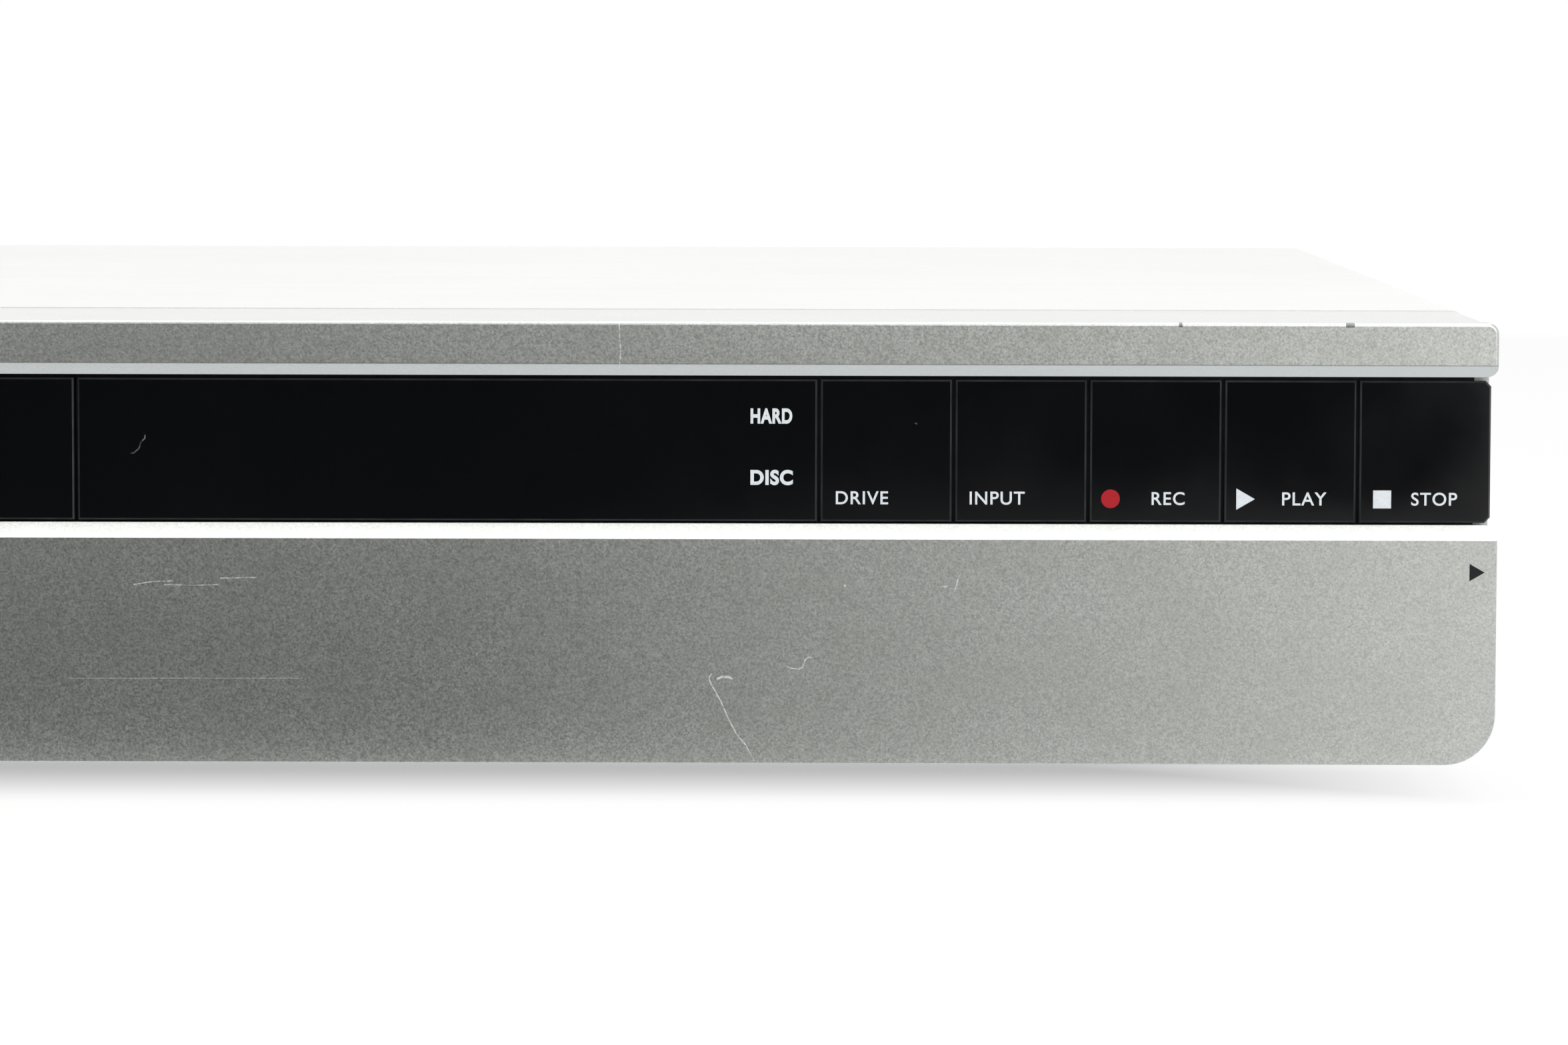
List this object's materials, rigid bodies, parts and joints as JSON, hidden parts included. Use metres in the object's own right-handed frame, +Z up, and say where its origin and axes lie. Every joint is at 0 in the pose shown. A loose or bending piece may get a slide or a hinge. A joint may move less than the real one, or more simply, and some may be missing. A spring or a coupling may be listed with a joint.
{
  "type": "dvd recorder",
  "caption": "Flat hi-fi width disc and hard disk recorder with a sliding tray, a black key band and a drop-down front flap.",
  "frame": {"origin": "middle of the bounding box, on the surface that the feet stand on", "axes": "+X to the viewer's right along the width, +Y from the front to the back, +Z up"},
  "size_m": [0.43, 0.31, 0.0656],
  "materials": {
    "white_paint": "satin white paint on sheet steel",
    "zinc_steel": "zinc-plated sheet steel",
    "silver_paint": "fine-grained metallic silver paint on plastic",
    "black_gloss": "polished black acrylic",
    "black_plastic": "fine-textured black plastic",
    "grey_plastic": "grey plastic",
    "white_plastic": "white plastic",
    "board_green": "green solder mask",
    "rubber": "matt rubber",
    "nickel": "bright nickel plate",
    "steel_rod": "ground steel",
    "cast_aluminium": "cast aluminium",
    "tube_glass": "smoked display glass",
    "lens_glass": "coated lens glass",
    "ferrite": "dark ferrite and tape"
  },
  "bodies": {
    "case": {"top_cover": "white_paint", "chassis_base": "zinc_steel", "rear_panel": "zinc_steel", "front_panel": "silver_paint", "front_carrier": "black_plastic", "socket_pocket": "black_plastic", "display_window": "black_gloss", "remote_window": "black_gloss", "flap_hinge_pins": "steel_rod", "front_boards": "board_green", "tact_switches": "black_plastic", "display_tube": "tube_glass", "remote_receiver": "black_plastic", "front_sockets": "nickel", "socket_board": "board_green", "drive_base": "black_plastic", "drive_lid": "zinc_steel", "drive_belt": "rubber", "loading_motor": "steel_rod", "hard_disk": "cast_aluminium", "hard_disk_bracket": "zinc_steel", "main_board": "board_green", "power_board": "board_green", "main_chips": "black_plastic", "heat_sink": "cast_aluminium", "tuner_can": "zinc_steel", "aerial_sockets": "nickel", "scart_sockets": "black_plastic", "rear_av_sockets": "black_plastic", "transformer": "ferrite", "capacitors": "black_plastic", "mains_inlet": "black_plastic", "fan_frame": "black_plastic", "ribbon_cables": "grey_plastic", "feet": "black_plastic", "foot_pads": "rubber", "screws": "zinc_steel"},
    "flap": {"front_flap": "silver_paint"},
    "tray": {"disc_tray": "black_plastic", "tray_bezel": "black_gloss"},
    "loading_wheel": {"tray_gear": "white_plastic"},
    "belt_wheel": {"pulley_gear": "white_plastic"},
    "motor_wheel": {"motor_pulley": "white_plastic"},
    "traverse": {"traverse_frame": "grey_plastic", "guide_rods": "steel_rod", "traverse_motors": "steel_rod"},
    "sled": {"pickup_sled": "cast_aluminium", "pickup_lens": "lens_glass"},
    "sled_wheel": {"sled_gear": "white_plastic"},
    "sled_motor_wheel": {"sled_pinion": "white_plastic"},
    "spindle": {"turntable": "black_plastic"},
    "disc_clamp": {"clamper": "grey_plastic"},
    "fan": {"fan_rotor": "black_plastic"},
    "standby_button": {"standby_key": "black_gloss"},
    "eject_button": {"eject_key": "black_gloss"},
    "drive_button": {"drive_key": "black_gloss"},
    "input_button": {"input_key": "black_gloss"},
    "record_button": {"record_key": "black_gloss"},
    "play_button": {"play_key": "black_gloss"},
    "stop_button": {"stop_key": "black_gloss"}
  },
  "joints": [
    {"name": "flap_hinge", "type": "hinge", "parent": "case", "child": "flap", "pos_m": [0, -0.1495, 0.0072], "axis": [1, 0, 0], "range_deg": [0, 90]},
    {"name": "tray_slide", "type": "slide", "parent": "case", "child": "tray", "axis": [0, -1, 0], "range_m": [0, 0.14]},
    {"name": "loading_wheel_spin", "type": "hinge", "parent": "case", "child": "loading_wheel", "pos_m": [-0.10305, -0.125, 0.04032], "axis": [0, 0, 1], "range_deg": [0, 804]},
    {"name": "belt_wheel_spin", "type": "hinge", "parent": "case", "child": "belt_wheel", "pos_m": [-0.08705, -0.125, 0.04032], "axis": [0, 0, 1], "range_deg": [-1338, 0]},
    {"name": "motor_wheel_spin", "type": "hinge", "parent": "case", "child": "motor_wheel", "pos_m": [-0.05305, -0.125, 0.03692], "axis": [0, 0, 1], "range_deg": [-5349, 0]},
    {"name": "traverse_tilt", "type": "hinge", "parent": "case", "child": "traverse", "pos_m": [-0.05305, 0.0267, 0.03932], "axis": [1, 0, 0], "range_deg": [0, 4]},
    {"name": "spindle_spin", "type": "hinge", "parent": "traverse", "child": "spindle", "pos_m": [-0.05305, -0.0798, 0.04083], "axis": [0, 0, 1], "continuous": true},
    {"name": "clamp_spin", "type": "hinge", "parent": "case", "child": "disc_clamp", "pos_m": [-0.05305, -0.0798, 0.05683], "axis": [0, 0, 1], "continuous": true},
    {"name": "sled_slide", "type": "slide", "parent": "traverse", "child": "sled", "axis": [0, 1, 0], "range_m": [0, 0.034]},
    {"name": "sled_wheel_spin", "type": "hinge", "parent": "traverse", "child": "sled_wheel", "pos_m": [-0.02265, -0.0298, 0.04133], "axis": [0, 0, 1], "range_deg": [-306, 0]},
    {"name": "sled_motor_spin", "type": "hinge", "parent": "traverse", "child": "sled_motor_wheel", "pos_m": [-0.02265, -0.0194, 0.04133], "axis": [0, 0, 1], "range_deg": [0, 489]},
    {"name": "fan_spin", "type": "hinge", "parent": "case", "child": "fan", "pos_m": [-0.1214, 0.144, 0.033], "axis": [0, 1, 0], "continuous": true},
    {"name": "standby_press", "type": "slide", "parent": "case", "child": "standby_button", "axis": [0, 1, 0], "range_m": [0, 0.0005], "stiffness_N_per_m": 3000},
    {"name": "eject_press", "type": "slide", "parent": "case", "child": "eject_button", "axis": [0, 1, 0], "range_m": [0, 0.0005], "stiffness_N_per_m": 3000},
    {"name": "drive_press", "type": "slide", "parent": "case", "child": "drive_button", "axis": [0, 1, 0], "range_m": [0, 0.0005], "stiffness_N_per_m": 3000},
    {"name": "input_press", "type": "slide", "parent": "case", "child": "input_button", "axis": [0, 1, 0], "range_m": [0, 0.0005], "stiffness_N_per_m": 3000},
    {"name": "record_press", "type": "slide", "parent": "case", "child": "record_button", "axis": [0, 1, 0], "range_m": [0, 0.0005], "stiffness_N_per_m": 3000},
    {"name": "play_press", "type": "slide", "parent": "case", "child": "play_button", "axis": [0, 1, 0], "range_m": [0, 0.0005], "stiffness_N_per_m": 3000},
    {"name": "stop_press", "type": "slide", "parent": "case", "child": "stop_button", "axis": [0, 1, 0], "range_m": [0, 0.0005], "stiffness_N_per_m": 3000}
  ],
  "couplings": [
    {"joint": "loading_wheel_spin", "follows": "tray_slide", "rad_per_m": 100},
    {"joint": "belt_wheel_spin", "follows": "tray_slide", "rad_per_m": -166.67},
    {"joint": "motor_wheel_spin", "follows": "tray_slide", "rad_per_m": -666.67},
    {"joint": "clamp_spin", "follows": "spindle_spin", "ratio": 1},
    {"joint": "sled_wheel_spin", "follows": "sled_slide", "rad_per_m": -156.25},
    {"joint": "sled_motor_spin", "follows": "sled_slide", "rad_per_m": 250}
  ]
}
